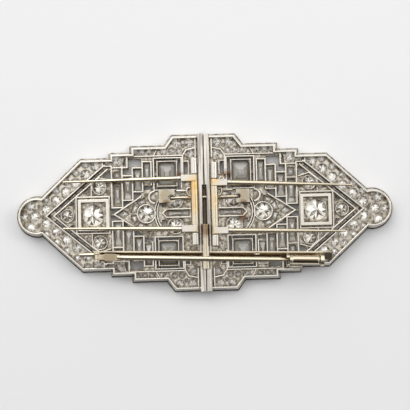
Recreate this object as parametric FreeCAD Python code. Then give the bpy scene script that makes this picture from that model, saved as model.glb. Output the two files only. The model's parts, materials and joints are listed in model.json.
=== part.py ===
import FreeCAD, Part
import math
import os

V = FreeCAD.Vector

# Double clip brooch lying face down. Millimetres. +X runs along the brooch, +Y across it,
# +Z points up at the back with the fittings. The origin is under the middle, on the surface.
# Each clip is drawn in its own plan: "out" is the distance from the seam between the clips and
# "up" the distance from the long middle line. The left clip is the mirror of the right one.

# Plan of one clip
SEAM_GAP = 0.1            # from the middle of the brooch to the flat edge of a clip
HALF_WIDTH = 15.3         # half height of the tallest block, beside the seam
LOBE_OUT = 32.5           # centre of the round end
LOBE_RADIUS = 4.05        # so the brooch is 73.1 mm long
# One upper edge of the front outline, from the seam to the round end: columns out, up
EDGE = [
    (SEAM_GAP, HALF_WIDTH),
    (6.2, HALF_WIDTH),
    (7.7, 13.3),
    (14.4, 13.3),
    (14.4, 12.1),
    (18.5, 12.1),
    (18.5, 11.1),
    (24.0, 11.1),
    (33.0, 2.72),          # inside the round end
]

# Heights above the surface
PLATE_TOP = 0.95          # pierced front plate
CELL_TOP = 1.9            # partitions between the cells
COLLET_TOP = 2.6          # box round the large middle stone
RIM_TOP = 2.7             # back edge of the outer wall and of the seam rail
SINK = 0.2                # how far a raised wall reaches into the plate
RIM_SLANT = 0.6           # the back edge is this much smaller than the front outline
LIP_TOP = 0.35            # upright lip along the front edge of the outer wall
LIP_WIDTH = 0.12
RIM_WALL = 0.3            # thickness of the outer wall at its back edge
RAIL_WIDTH = 1.0          # polished flat beside the seam
WALL = 0.26               # thickness of a partition
THIN_WALL = 0.2           # thickness of a stone's own frame

# Stones
STONE_GAP = 0.04          # between a stone and its seat
TABLE_Z = 0.2             # the table faces down, just clear of the surface
TABLE_SHARE = 0.56        # table width by girdle width
CROWN_SHARE = 0.3         # crown height by girdle radius
GIRDLE = 0.06             # thickness of the girdle
PAVILION_SHARE = 0.82     # pavilion depth by girdle radius
FIELD_SIDES = 8           # facets round a small stone
MAIN_SIDES = 16           # facets round a main stone
STEP_CROWN = 0.3          # crown height of a rectangular stone
STEP_TABLE = 0.66         # its table by its girdle
STEP_CORNER = 0.35        # cut corner of the two large rectangular stones
STEP_PAVILION = 0.55      # pavilion depth of a small rectangular stone
LARGE_STEP_PAVILION = 1.0 # pavilion depth of the two large rectangular stones
CULET_SHARE = 0.22        # flat point of a rectangular stone by its width

# Band that runs in a V to the round end, and the two rows of round stones outside it
V_START = (19.25, 9.6)
V_TIP = (30.7, 0.0)
V_CHANNEL = 0.98          # between the middles of the band's two walls
V_STONES = 7              # flat stones on each arm
V_STONE_WIDTH = 0.58
V_STONE_GAP = 0.16
V_FIRST = 0.75            # along the arm, where its stones begin
V_LAST = 13.0             # and end
ROW_PITCH = 2.54
INNER_ROW = (1.4, 1.12, 0.92, 6)   # first along, distance out from the band, radius, number
OUTER_ROW = (2.67, 2.64, 0.66, 5)
TIP_HOLE = (30.1, 0.35)   # square hole at the point of the V: out, half diagonal

# Round stones of the upper half, repeated below: columns out, up, radius
HALF_ROUNDS = [
    (2.7, 13.7, 0.9),
    (5.1, 13.75, 0.85),
    (3.95, 13.05, 0.3),
    (2.35, 11.55, 0.8),
    (4.75, 12.1, 0.55),
    (6.15, 12.15, 0.6),
    (7.75, 12.1, 0.72),
    (10.5, 12.05, 0.6),
    (11.95, 12.05, 0.6),
    (13.2, 12.05, 0.45),
    (16.9, 10.5, 0.97),
    (18.75, 10.1, 0.42),
    (22.6, 4.6, 0.42),
    (33.75, 2.15, 0.88),
]
MIDDLE_ROUNDS = [
    (33.05, 0.0, 0.9),
    (35.0, 0.0, 0.72),
]

# Flat rectangular stones of the upper half: columns out from, out to, up from, up to
HALF_BAGUETTES = [
    (10.45, 11.65, 5.85, 9.85),
    (12.2, 13.55, 4.55, 8.65),
    (14.2, 15.55, 2.95, 7.15),
    (16.2, 17.55, 1.6, 6.0),
    (16.25, 17.5, 6.75, 8.35),
]
BAR_STONE = (2.95, 7.15, -0.46, 0.46)
KITE = [(14.68, 0.0), (15.6, 0.8), (16.9, 0.0), (15.6, -0.8)]

# Stones fanned round the inner round stone
FAN_CENTRE = 11.3
FAN_INNER = 2.05
FAN_OUTER = 3.1
FAN_ANGLES = [-68.0, -23.0, 23.0, 68.0]
FAN_HALF_ANGLE = 17.0

# Main stones: columns name, out, up, radius
MAIN_ROUNDS = [
    ("centre_stone", 21.6, 0.0, 2.0),
    ("fan_stone", FAN_CENTRE, 0.0, 1.6),
    ("end_stone", 26.6, 0.0, 1.12),
    ("upper_flank_stone", 20.35, 5.35, 1.2),
    ("lower_flank_stone", 20.35, -5.35, 1.2),
    ("upper_seam_stone", 5.7, 2.5, 1.4),
    ("lower_seam_stone", 5.7, -2.5, 1.4),
]
STEP_STONE = (5.45, 8.85, 5.55, 9.85)

# Openings cut through the plate, upper half, repeated below: corners out, up
HALF_VOIDS = [
    [(12.15, 9.3), (12.15, 10.7), (14.6, 10.7), (14.6, 8.75), (15.65, 8.75), (15.65, 7.75),
     (14.05, 7.75), (14.05, 9.3)],
    [(16.3, 1.1), (18.15, 1.1), (18.15, 0.12), (17.85, 0.12)],
    [(14.3, 2.5), (15.7, 2.5), (15.7, 1.6)],
    [(12.25, 4.05), (13.7, 4.05), (13.7, 2.85), (12.25, 3.8)],
    [(3.1, 7.6), (3.8, 7.6), (3.8, 9.75), (3.1, 9.75)],
    [(25.3, 2.75), (25.3, 1.75), (26.3, 1.95)],
    [(10.1, 4.75), (11.7, 4.6), (11.7, 5.35), (10.1, 5.35)],
    [(7.55, 1.25), (8.35, 1.25), (8.05, 2.9), (7.45, 2.9)],
    [(18.25, 6.9), (19.6, 7.3), (19.6, 7.6), (18.25, 8.7)],
    [(15.2, 9.55), (15.7, 9.3), (15.5, 10.9), (15.2, 10.9)],
]
# Slots beside the large rectangular stones: columns out from, out to, up from, up to
HALF_SLOTS = [
    (4.5, 5.0, 4.75, 7.4),
    (4.5, 5.0, 7.9, 10.4),
    (9.3, 9.6, 4.75, 7.4),
    (9.3, 9.6, 8.2, 10.4),
    (5.3, 9.0, 10.3, 10.55),
    (5.3, 9.0, 4.75, 5.05),
]
TIP_VOID = [(27.98, 0.35), (28.42, 0.0), (27.98, -0.35)]

# Partitions of the upper half, repeated below: thickness, then corners out, up
HALF_WALLS = [
    (WALL, [(1.55, 10.8), (1.55, 14.6)]),
    (WALL, [(1.7, 12.55), (3.3, 12.2), (4.05, 11.1), (4.05, 7.4)]),
    (THIN_WALL, [(2.95, 7.4), (2.95, 10.0), (4.05, 10.0)]),
    (WALL, [(4.05, 11.15), (14.9, 11.15)]),
    (THIN_WALL, [(8.85, 12.7), (9.65, 11.2)]),
    (THIN_WALL, [(13.85, 12.7), (13.85, 11.2)]),
    (WALL, [(14.85, 11.3), (14.85, 9.05), (17.9, 9.05), (17.9, 9.4), (19.2, 9.4)]),
    (THIN_WALL, [(19.6, 9.3), (19.6, 10.4)]),
    (WALL, [(10.2, 5.6), (10.2, 10.1), (11.9, 10.1), (11.9, 4.3), (13.85, 4.3)]),
    (WALL, [(11.9, 8.95), (13.85, 8.95), (13.85, 2.7), (15.85, 2.7)]),
    (WALL, [(13.85, 7.45), (15.85, 7.45), (15.85, 1.3), (17.9, 1.3)]),
    (WALL, [(15.85, 7.3), (15.85, 9.05)]),
    (WALL, [(17.9, 1.3), (17.9, 9.05)]),
    (THIN_WALL, [(15.85, 6.38), (17.9, 6.38)]),
    (WALL, [(12.35, 3.3), (17.5, 0.0)]),
    (WALL, [(2.8, 0.8), (7.4, 0.8), (8.15, 0.0)]),
    (THIN_WALL, [(18.3, 6.6), (20.3, 7.2), (21.85, 5.95), (21.85, 3.65)]),
]
# Square frames standing on the plate: columns out from, out to, up from, up to, wall, top
HALF_FRAMES = [
    (4.2, 9.85, 4.4, 10.85, WALL, CELL_TOP),
    (5.15, 9.15, 5.2, 10.2, THIN_WALL, 1.6),
]
MIDDLE_FRAMES = [
    (18.3, 24.95, -3.65, 3.65, WALL, CELL_TOP),
    (18.45, 24.45, -3.05, 3.05, 0.6, COLLET_TOP),
]
# Rings and arcs: columns out, up, inner radius, thickness, from degree, to degree, top
RINGS = [
    (FAN_CENTRE, 0.0, 1.66, THIN_WALL, 0.0, 360.0, CELL_TOP),
    (4.6, 0.0, 4.52, THIN_WALL, -46.0, 46.0, CELL_TOP),
    (4.6, 0.0, 4.96, THIN_WALL, -42.0, 42.0, CELL_TOP),
    (26.6, 0.0, 1.18, 0.14, 0.0, 360.0, 1.6),
    (20.35, 5.35, 1.26, 0.16, 0.0, 360.0, 1.6),
    (20.35, -5.35, 1.26, 0.16, 0.0, 360.0, 1.6),
    (5.7, -2.5, 1.46, 0.16, 0.0, 360.0, 1.6),
    (5.7, 2.5, 1.46, 0.16, 0.0, 360.0, 1.6),
    (9.55, 3.15, 1.0, 0.32, -90.0, 90.0, 2.3),
]

# Hinge of each fork, along the seam
HINGE_OUT = 1.9
HINGE_Z = 3.9
BARREL_RADIUS = 0.75
ROD_RADIUS = 0.3
BORE_RADIUS = 0.35
KNUCKLE_GAP = 0.12
KNUCKLE_FOOT = 1.1        # width of the foot under a fixed knuckle
SOCKET_WIDTH = 1.2
SOCKET_UNDER = 0.5        # below the hinge axis
SOCKET_OVER = 0.82        # above it, a little over the barrel
SOCKET_BACK = 0.35        # reaches back over the barrel past the axis
SOCKET_OUT = 4.4          # where the square socket ends and the collar begins
COLLAR_OUT = 5.1
COLLAR_RADIUS = 0.55
WIRE_ROOT = 0.47          # radius of the prong at its root
WIRE_STEP = 14.4          # where the prong steps down
WIRE_MIDDLE = 0.4
WIRE_TIP = 0.18
WIRE_LAP = 0.2            # how far one length reaches into the next
TIP_Z = 3.55
# Per clip: moving barrel from and to, the two prongs' root and tip, and the fixed knuckles' far ends
FORKS = {
    "left": {"barrel": (-3.85, 7.25), "upper": (6.6, (27.0, 6.45)), "lower": (-3.1, (27.2, -2.45)),
             "knuckles": (-6.2, 10.45), "keeper": (5.7, 8.8, 2.0, 4.6)},
    "right": {"barrel": (-4.3, 6.3), "upper": (5.6, (28.3, 4.5)), "lower": (-3.6, (26.8, -4.3)),
              "knuckles": (-6.5, 9.5), "keeper": (6.1, 8.7, 1.7, 4.3)},
}

# Keeper box on each clip, which takes the end of the brooch frame's cross rod
KEEPER_FLOOR = 1.9
KEEPER_TOP = 2.85
KEEPER_LEG = 1.3
NOTCH_END = 6.98
CROSS_Y = 2.95            # the cross rod lies along X here
CROSS_Z = 2.05
CROSS_RADIUS = 0.38
CROSS_REACH = 6.7
CROSS_CLEAR = 0.1         # room round the rod in the rail
NOTCH_CLEAR = 0.14        # room beside it in the keeper's notch
TUBE = (3.1, 5.4, 4.25, 2.2, 0.38)   # small cross tube: out from, out to, up, height, radius

# Brooch frame between the clips
SLOT_HALF = 0.44          # half width of the slot between the rails
SLOT_FROM = -3.2
SLOT_TO = 5.3
SLOT_FLOOR = 1.4
WEB_HALF = 0.2            # plate that stands in the slot
WEB_START = -3.05
WEB_LOW = 1.55
WEB_HIGH = 2.0
WEB_END = 4.85
BALL_RADIUS = 0.3
SPINE_RADIUS = 0.8        # half round bar over the seam
SPINE_Z = 3.3             # its axis
SPINE_BASE = 2.85         # its flat underside
SPINE_FROM = -10.9
SPINE_TO = -2.3
RAIL_LOW = 3.15           # bar behind the pin: a narrow flat along its upper edge, the rest falls away
RAIL_HIGH = 3.65
RAIL_HALF = 0.8
RAIL_FLAT = 0.25
RAIL_EDGE = 0.14          # thickness left at its lower edge
RAIL_LEFT = (-21.6, -7.71)   # middle of its two ends: X, Y
RAIL_RIGHT = (24.2, -8.94)
LOOP = (9.8, -8.3, 0.5, 0.14)        # small loop on the bar: X, Y, ring radius, wire radius
LOOP_SINK = 0.35          # how far its ends reach down into the bar
STOP_BAR = (-24.2, -21.2, -7.59, 0.4)  # round bar beyond the pin's hinge: from X, to X, Y, radius

# Brooch pin and catch, on one line that turns a little to the long axis
PIN_HINGE = (-20.7, -8.1)
PIN_Z = 5.05
PIN_TURN = -2.2           # degrees about Z
PIN_RADIUS = 0.5
PIN_TIP = 36.45           # along the line from the hinge
PIN_TAPER = 1.6
POINT_RADIUS = 0.12
HEAD_WIDTH = 1.0
HEAD_HEIGHT = 0.8
HEAD_EYE = 0.5            # outer radius of the eye round the rivet
HEAD_PLAN = [(0.0, 0.5), (1.1, 0.5), (1.6, 0.68), (3.2, 0.68), (4.3, 0.5)]   # along, half width
STEM_START = 3.8
LUG_THICK = 0.3
LUG_GAP = 0.06
LUG_RADIUS = 0.65
RIVET_RADIUS = 0.25
RIVET_BORE = 0.29
CATCH_COLLAR = (36.0, 36.6, 1.15)    # from, to along the line, radius
CATCH_BARREL = (36.6, 42.3, 0.85)
CATCH_BORE = 0.68
SLEEVE_RADIUS = 0.62
SLEEVE_WALL = 0.18
SLEEVE_START = 36.75
FLANGE = (42.45, 43.15, 1.18)
COLLAR_NOTCH = 0.42       # half width of the notch where the pin lies
SADDLE_HALF = 0.45        # half width of the saddle that joins the catch to the bar
SADDLE_TOP = -0.7         # its top, from the pin's line
JOIN = 0.1                # how far soldered pieces reach into each other
THROUGH = 5.0             # cutting tools run this far past what they cut
ROD_INSET = 0.35          # the hinge rod stops this far inside the knuckles
BORE_END = 0.05           # room past each end of the rod


def mirrored(points):
    """Return the same corners below the middle line."""
    return [(out, -up) for out, up in reversed(points)]


def prism(points, low, high):
    """Raise a flat outline given by its corners."""
    corners = [V(x, y, low) for x, y in points]
    face = Part.Face(Part.makePolygon(corners + corners[:1]))
    return face.extrude(V(0, 0, high - low))


def block(x0, x1, y0, y1, low, high):
    return Part.makeBox(x1 - x0, y1 - y0, high - low, V(x0, y0, low))


def cylinder(radius, start, end):
    """Round bar between two points."""
    axis = end.sub(start)
    return Part.makeCylinder(radius, axis.Length, start, axis)


def cone(radius0, radius1, start, end):
    axis = end.sub(start)
    return Part.makeCone(radius0, radius1, axis.Length, start, axis)


def inset(points, distance):
    """Move each side of an anticlockwise outline inwards and meet the sides again."""
    lines = []
    for (x0, y0), (x1, y1) in zip(points, points[1:] + points[:1]):
        length = math.hypot(x1 - x0, y1 - y0)
        nx, ny = -(y1 - y0) / length, (x1 - x0) / length
        lines.append((nx, ny, nx * x0 + ny * y0 + distance))
    corners = []
    for (ax, ay, ac), (bx, by, bc) in zip(lines[-1:] + lines[:-1], lines):
        across = ax * by - ay * bx
        corners.append(((ac * by - bc * ay) / across, (ax * bc - bx * ac) / across))
    return corners


def wall(width, points, low, high):
    """Upright wall of even thickness along a line of corners, as blocks with mitred ends."""
    pieces = []
    half = width / 2
    for (x0, y0), (x1, y1) in zip(points, points[1:]):
        length = math.hypot(x1 - x0, y1 - y0)
        ux, uy = (x1 - x0) / length * half, (y1 - y0) / length * half
        corners = [
            (x0 - ux + uy, y0 - uy - ux),
            (x1 + ux + uy, y1 + uy - ux),
            (x1 + ux - uy, y1 + uy + ux),
            (x0 - ux - uy, y0 - uy + ux),
        ]
        pieces.append(prism(corners, low, high))
    return pieces


def square_frame(x0, x1, y0, y1, width, low, high):
    outer = block(x0, x1, y0, y1, low, high)
    return outer.cut(block(x0 + width, x1 - width, y0 + width, y1 - width, low - 1, high + 1))


def ring(x, y, inner, width, start, end, low, high):
    """Upright ring, or part of one between two angles."""
    sweep = end - start
    outer = Part.makeCylinder(inner + width, high - low, V(x, y, low), V(0, 0, 1), sweep)
    hollow = Part.makeCylinder(inner, high - low, V(x, y, low), V(0, 0, 1), sweep)
    result = outer.cut(hollow)
    result.rotate(V(x, y, 0), V(0, 0, 1), start)
    return result


def faceted(rings):
    """Closed solid from stacked outlines with the same number of corners; the last may be a point."""
    faces = []
    for lower, upper in zip(rings, rings[1:]):
        count = len(lower)
        for i in range(count):
            j = (i + 1) % count
            if len(upper) == 1:
                corners = [lower[i], lower[j], upper[0]]
            else:
                corners = [lower[i], lower[j], upper[j], upper[i]]
            faces.append(Part.Face(Part.makePolygon(corners + corners[:1])))
    for cap in (rings[0], rings[-1]):
        if len(cap) > 2:
            faces.append(Part.Face(Part.makePolygon(cap + cap[:1])))
    return Part.makeSolid(Part.makeShell(faces))


def scaled(points, share, z):
    """Outline shrunk about its own middle, at a height."""
    cx = sum(x for x, y in points) / len(points)
    cy = sum(y for x, y in points) / len(points)
    return [V(cx + (x - cx) * share, cy + (y - cy) * share, z) for x, y in points]


def round_stone(x, y, radius, sides):
    """Brilliant with its table down and its point up."""
    outline = []
    for i in range(sides):
        turn = 2 * math.pi * (i + 0.5) / sides
        outline.append((x + radius * math.cos(turn), y + radius * math.sin(turn)))
    girdle_z = TABLE_Z + CROWN_SHARE * radius
    return faceted([
        scaled(outline, TABLE_SHARE, TABLE_Z),
        scaled(outline, 1.0, girdle_z),
        scaled(outline, 1.0, girdle_z + GIRDLE),
        [V(x, y, girdle_z + GIRDLE + PAVILION_SHARE * radius)],
    ])


def flat_stone(outline, depth):
    """Step cut stone of any outline, table down."""
    girdle_z = TABLE_Z + STEP_CROWN
    return faceted([
        scaled(outline, STEP_TABLE, TABLE_Z),
        scaled(outline, 1.0, girdle_z),
        scaled(outline, 1.0, girdle_z + GIRDLE),
        scaled(outline, CULET_SHARE, girdle_z + GIRDLE + depth),
    ])


def rectangle(x0, x1, y0, y1, corner=0.0):
    """Corners of a rectangle, with cut corners where asked."""
    if corner == 0:
        return [(x0, y0), (x1, y0), (x1, y1), (x0, y1)]
    return [
        (x0 + corner, y0), (x1 - corner, y0), (x1, y0 + corner), (x1, y1 - corner),
        (x1 - corner, y1), (x0 + corner, y1), (x0, y1 - corner), (x0, y0 + corner),
    ]


def along_v(along, off):
    """Point beside the V band: distance along its upper arm and distance out from it."""
    dx, dy = V_TIP[0] - V_START[0], V_TIP[1] - V_START[1]
    length = math.hypot(dx, dy)
    ux, uy = dx / length, dy / length
    return (V_START[0] + ux * along - uy * off, V_START[1] + uy * along + ux * off)


def small_rounds():
    """Every small round stone of a clip: out, up, radius."""
    half = list(HALF_ROUNDS)
    for first, off, radius, count in (INNER_ROW, OUTER_ROW):
        half += [along_v(first + ROW_PITCH * i, off) + (radius,) for i in range(count)]
    return half + [(out, -up, radius) for out, up, radius in half] + MIDDLE_ROUNDS


def v_outlines():
    """Outlines of the flat stones in the upper arm of the V band."""
    pitch = (V_LAST - V_FIRST + V_STONE_GAP) / V_STONES
    near = -V_CHANNEL / 2 + V_STONE_WIDTH / 2
    far = -V_CHANNEL / 2 - V_STONE_WIDTH / 2
    outlines = []
    for i in range(V_STONES):
        start = V_FIRST + pitch * i
        end = start + pitch - V_STONE_GAP
        outlines.append([along_v(start, far), along_v(end, far), along_v(end, near), along_v(start, near)])
    return outlines


def fan_outlines():
    outlines = []
    for middle in FAN_ANGLES:
        corners = []
        for radius, side in ((FAN_INNER, 1), (FAN_INNER, -1), (FAN_OUTER, -1), (FAN_OUTER, 1)):
            turn = math.radians(middle + side * FAN_HALF_ANGLE)
            corners.append((FAN_CENTRE + radius * math.cos(turn), radius * math.sin(turn)))
        outlines.append(corners)
    return outlines


def small_flats():
    """Outlines of every small rectangular, fanned or pointed stone of a clip."""
    half = [rectangle(*row) for row in HALF_BAGUETTES] + v_outlines()
    return half + [mirrored(points) for points in half] + [rectangle(*BAR_STONE), KITE] + fan_outlines()


def step_outlines():
    """Outlines of the two large rectangular stones, upper and lower."""
    x0, x1, y0, y1 = STEP_STONE
    return [rectangle(x0, x1, y0, y1, STEP_CORNER), rectangle(x0, x1, -y1, -y0, STEP_CORNER)]


def grown(outline, distance):
    """The same outline, a little larger, whichever way its corners run."""
    area = sum(x0 * y1 - x1 * y0 for (x0, y0), (x1, y1) in zip(outline, outline[1:] + outline[:1]))
    return inset(outline if area > 0 else outline[::-1], -distance)


def clip_shell():
    """Pierced plate's blank with the slanting outer wall round it, above a thin upright lip."""
    outline = [(out, -up) for out, up in EDGE] + EDGE[::-1]
    front = [V(x, y, LIP_TOP) for x, y in inset(outline, LIP_WIDTH)]
    back = [V(x, y, RIM_TOP) for x, y in inset(outline, RIM_SLANT)]
    body = Part.makeLoft([Part.makePolygon(front + front[:1]), Part.makePolygon(back + back[:1])], True, True)
    lobe = cone(LOBE_RADIUS - LIP_WIDTH, LOBE_RADIUS - RIM_SLANT, V(LOBE_OUT, 0, LIP_TOP), V(LOBE_OUT, 0, RIM_TOP))
    lip = prism(outline, 0, LIP_TOP)
    lobe_lip = cylinder(LOBE_RADIUS, V(LOBE_OUT, 0, 0), V(LOBE_OUT, 0, LIP_TOP))
    depth = RIM_SLANT + RIM_WALL
    hollow = prism(inset(outline, depth), PLATE_TOP, RIM_TOP + THROUGH)
    lobe_hollow = cylinder(LOBE_RADIUS - depth, V(LOBE_OUT, 0, PLATE_TOP), V(LOBE_OUT, 0, RIM_TOP + THROUGH))
    return lip.fuse([lobe_lip, body, lobe]).cut([hollow, lobe_hollow])


def partitions():
    """Walls, frames and rings that stand on the plate between the stones."""
    low = PLATE_TOP - SINK
    pieces = []
    for width, points in HALF_WALLS:
        pieces += wall(width, points, low, CELL_TOP)
        pieces += wall(width, mirrored(points), low, CELL_TOP)
    for off in (0.0, -V_CHANNEL):
        end = V_TIP[0] + off / math.sin(math.atan2(V_START[1], V_TIP[0] - V_START[0]))
        arm = [along_v(0.0, off), (end, 0.0)]
        pieces += wall(WALL, arm, low, CELL_TOP) + wall(WALL, mirrored(arm), low, CELL_TOP)
    for x0, x1, y0, y1, width, top in HALF_FRAMES:
        pieces.append(square_frame(x0, x1, y0, y1, width, low, top))
        pieces.append(square_frame(x0, x1, -y1, -y0, width, low, top))
    for x0, x1, y0, y1, width, top in MIDDLE_FRAMES:
        pieces.append(square_frame(x0, x1, y0, y1, width, low, top))
    for x, y, inner, width, start, end, top in RINGS:
        pieces.append(ring(x, y, inner, width, start, end, low, top))
    return pieces


def seats():
    """Round and shaped holes in the plate where the stones sit."""
    holes = []
    rounds = small_rounds() + [(x, y, radius) for name, x, y, radius in MAIN_ROUNDS]
    for x, y, radius in rounds:
        holes.append(cylinder(radius + STONE_GAP, V(x, y, -1), V(x, y, PLATE_TOP)))
    for outline in small_flats() + step_outlines():
        holes.append(prism(grown(outline, STONE_GAP), -1, PLATE_TOP))
    return holes


def voids():
    """Openings cut right through the plate."""
    out, half = TIP_HOLE
    outlines = [TIP_VOID, [(out - half, 0.0), (out, -half), (out + half, 0.0), (out, half)]]
    for points in HALF_VOIDS + [rectangle(*row) for row in HALF_SLOTS]:
        outlines += [points, mirrored(points)]
    return [prism(points, -1, PLATE_TOP) for points in outlines]


def knuckles(fork):
    """Fixed hinge tubes above and below the moving barrel, each on a foot."""
    barrel_low, barrel_high = fork["barrel"]
    far_low, far_high = fork["knuckles"]
    half = KNUCKLE_FOOT / 2
    pieces = []
    for y0, y1 in ((far_low, barrel_low - KNUCKLE_GAP), (barrel_high + KNUCKLE_GAP, far_high)):
        pieces.append(block(HINGE_OUT - half, HINGE_OUT + half, y0, y1, PLATE_TOP - SINK, HINGE_Z))
        pieces.append(cylinder(BARREL_RADIUS, V(HINGE_OUT, y0, HINGE_Z), V(HINGE_OUT, y1, HINGE_Z)))
    return pieces


def keeper(fork):
    """Box with an open notch for the cross rod, on one leg, and the small tube beside it."""
    x0, x1, y0, y1 = fork["keeper"]
    box = block(x0, x1, y0, y1, KEEPER_FLOOR, KEEPER_TOP)
    leg = block(x1 - KEEPER_LEG, x1, y0, y1, PLATE_TOP - SINK, KEEPER_FLOOR + SINK)
    half = CROSS_RADIUS + NOTCH_CLEAR
    end = NOTCH_END - half
    notch = [
        block(x0 - 1, end, CROSS_Y - half, CROSS_Y + half, KEEPER_FLOOR - 1, KEEPER_TOP + 1),
        cylinder(half, V(end, CROSS_Y, KEEPER_FLOOR - 1), V(end, CROSS_Y, KEEPER_TOP + 1)),
    ]
    tube_from, tube_to, tube_y, tube_z, radius = TUBE
    tube = cylinder(radius, V(tube_from, tube_y, tube_z), V(tube_to, tube_y, tube_z))
    return box.cut(notch), leg, tube


def gallery(fork):
    """The whole soldered metal of one clip."""
    rail = block(SEAM_GAP, SEAM_GAP + RAIL_WIDTH, -HALF_WIDTH, HALF_WIDTH, 0, RIM_TOP)
    box, leg, tube = keeper(fork)
    pieces = partitions() + knuckles(fork) + [rail, box, leg, tube]
    body = clip_shell().fuse(pieces)
    far_low, far_high = fork["knuckles"]
    low, high = far_low + ROD_INSET - BORE_END, far_high - ROD_INSET + BORE_END
    bore = cylinder(BORE_RADIUS, V(HINGE_OUT, low, HINGE_Z), V(HINGE_OUT, high, HINGE_Z))
    channel = cylinder(CROSS_RADIUS + CROSS_CLEAR, V(0, CROSS_Y, CROSS_Z), V(NOTCH_END, CROSS_Y, CROSS_Z))
    slot = block(0, SLOT_HALF, SLOT_FROM, SLOT_TO, SLOT_FLOOR, RIM_TOP + 1)
    return body.cut(seats() + voids() + [bore, channel, slot]).removeSplitter()


def hinge_rod(fork):
    far_low, far_high = fork["knuckles"]
    low, high = far_low + ROD_INSET, far_high - ROD_INSET
    return cylinder(ROD_RADIUS, V(HINGE_OUT, low, HINGE_Z), V(HINGE_OUT, high, HINGE_Z))


def double_prong(fork):
    """Moving barrel with two square sockets, each holding a tapered prong."""
    low, high = fork["barrel"]
    pieces = []
    for name in ("lower", "upper"):
        root, (tip_out, tip_up) = fork[name]
        half = SOCKET_WIDTH / 2
        pieces.append(block(HINGE_OUT - SOCKET_BACK, SOCKET_OUT, root - half, root + half,
                            HINGE_Z - SOCKET_UNDER, HINGE_Z + SOCKET_OVER))
        start = V(SOCKET_OUT, root, HINGE_Z)
        reach = V(tip_out, tip_up, TIP_Z).sub(start)
        collar_end = start + reach * ((COLLAR_OUT - SOCKET_OUT) / reach.x)
        step = start + reach * ((WIRE_STEP - SOCKET_OUT) / reach.x)
        tip = start + reach
        pieces.append(cylinder(COLLAR_RADIUS, start - reach * (WIRE_LAP / reach.x), collar_end))
        pieces.append(cylinder(WIRE_ROOT, start, step))
        pieces.append(cone(WIRE_MIDDLE, WIRE_TIP, step - reach * (WIRE_LAP / reach.x), tip))
        pieces.append(Part.makeSphere(WIRE_TIP, tip))
    barrel = cylinder(BARREL_RADIUS, V(HINGE_OUT, low, HINGE_Z), V(HINGE_OUT, high, HINGE_Z))
    bore = cylinder(BORE_RADIUS, V(HINGE_OUT, low - THROUGH, HINGE_Z), V(HINGE_OUT, high + THROUGH, HINGE_Z))
    return barrel.fuse(pieces).cut(bore).removeSplitter()


def on_pin_line(shape):
    """Move a piece drawn along X from the pin's hinge to its place on the brooch."""
    shape.rotate(V(0, 0, 0), V(0, 0, 1), PIN_TURN)
    shape.translate(V(PIN_HINGE[0], PIN_HINGE[1], PIN_Z))
    return shape


def pin_lugs():
    """Two ears on a foot that hold the pin's head, with the rivet hole through them."""
    inner = HEAD_WIDTH / 2 + LUG_GAP
    outer = inner + LUG_THICK
    foot = RAIL_HIGH - PIN_Z
    pieces = [block(-LUG_RADIUS, LUG_RADIUS, -outer, outer, RAIL_LOW - PIN_Z, foot)]
    hole = cylinder(RIVET_BORE, V(0, -THROUGH, 0), V(0, THROUGH, 0))
    for y in (-outer, inner):
        ear = block(-LUG_RADIUS, LUG_RADIUS, y, y + LUG_THICK, foot - JOIN, 0)
        ear = ear.fuse(cylinder(LUG_RADIUS, V(0, y, 0), V(0, y + LUG_THICK, 0)))
        pieces.append(ear.cut(hole))
    return [on_pin_line(piece) for piece in pieces]


def pin_rivet():
    reach = HEAD_WIDTH / 2 + LUG_GAP + LUG_THICK
    return on_pin_line(cylinder(RIVET_RADIUS, V(0, -reach, 0), V(0, reach, 0)))


def pin_stem():
    """Flat head with an eye, then the round stem down to its point."""
    half = HEAD_WIDTH / 2
    tall = HEAD_HEIGHT / 2
    eye = cylinder(HEAD_EYE, V(0, -half, 0), V(0, half, 0))
    outline = [(along, -wide) for along, wide in HEAD_PLAN] + HEAD_PLAN[::-1]
    head = prism(outline, -tall, tall)
    stem = cylinder(PIN_RADIUS, V(STEM_START, 0, 0), V(PIN_TIP - PIN_TAPER, 0, 0))
    point = cone(PIN_RADIUS, POINT_RADIUS, V(PIN_TIP - PIN_TAPER, 0, 0), V(PIN_TIP, 0, 0))
    hole = cylinder(RIVET_BORE, V(0, -THROUGH, 0), V(0, THROUGH, 0))
    return on_pin_line(eye.fuse([head, stem, point]).cut(hole).removeSplitter())


def catch():
    """Fixed tube of the catch: notched collar, barrel and the saddle that joins it to the bar."""
    collar_from, collar_to, collar_radius = CATCH_COLLAR
    barrel_from, barrel_to, barrel_radius = CATCH_BARREL
    collar = cylinder(collar_radius, V(collar_from, 0, 0), V(collar_to, 0, 0))
    barrel = cylinder(barrel_radius, V(barrel_from - JOIN, 0, 0), V(barrel_to, 0, 0))
    saddle = block(collar_from, barrel_to - JOIN, -SADDLE_HALF, SADDLE_HALF, RAIL_LOW - PIN_Z, SADDLE_TOP)
    notch = block(collar_from - 1, collar_to + JOIN / 2, -COLLAR_NOTCH, COLLAR_NOTCH, 0, THROUGH)
    groove = cylinder(COLLAR_NOTCH, V(collar_from - 1, 0, 0), V(collar_to + JOIN / 2, 0, 0))
    bore = cylinder(CATCH_BORE, V(collar_to, 0, 0), V(barrel_to + 1, 0, 0))
    return on_pin_line(collar.fuse([barrel, saddle]).cut([notch, groove, bore]))


def catch_sleeve():
    """Inner tube that draws out by its flange."""
    flange_from, flange_to, flange_radius = FLANGE
    tube = cylinder(SLEEVE_RADIUS, V(SLEEVE_START, 0, 0), V(flange_from + JOIN, 0, 0))
    flange = cylinder(flange_radius, V(flange_from, 0, 0), V(flange_to, 0, 0))
    bore = cylinder(SLEEVE_RADIUS - SLEEVE_WALL, V(SLEEVE_START - 1, 0, 0), V(flange_to + 1, 0, 0))
    return on_pin_line(tube.fuse(flange).cut(bore).removeSplitter())


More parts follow.
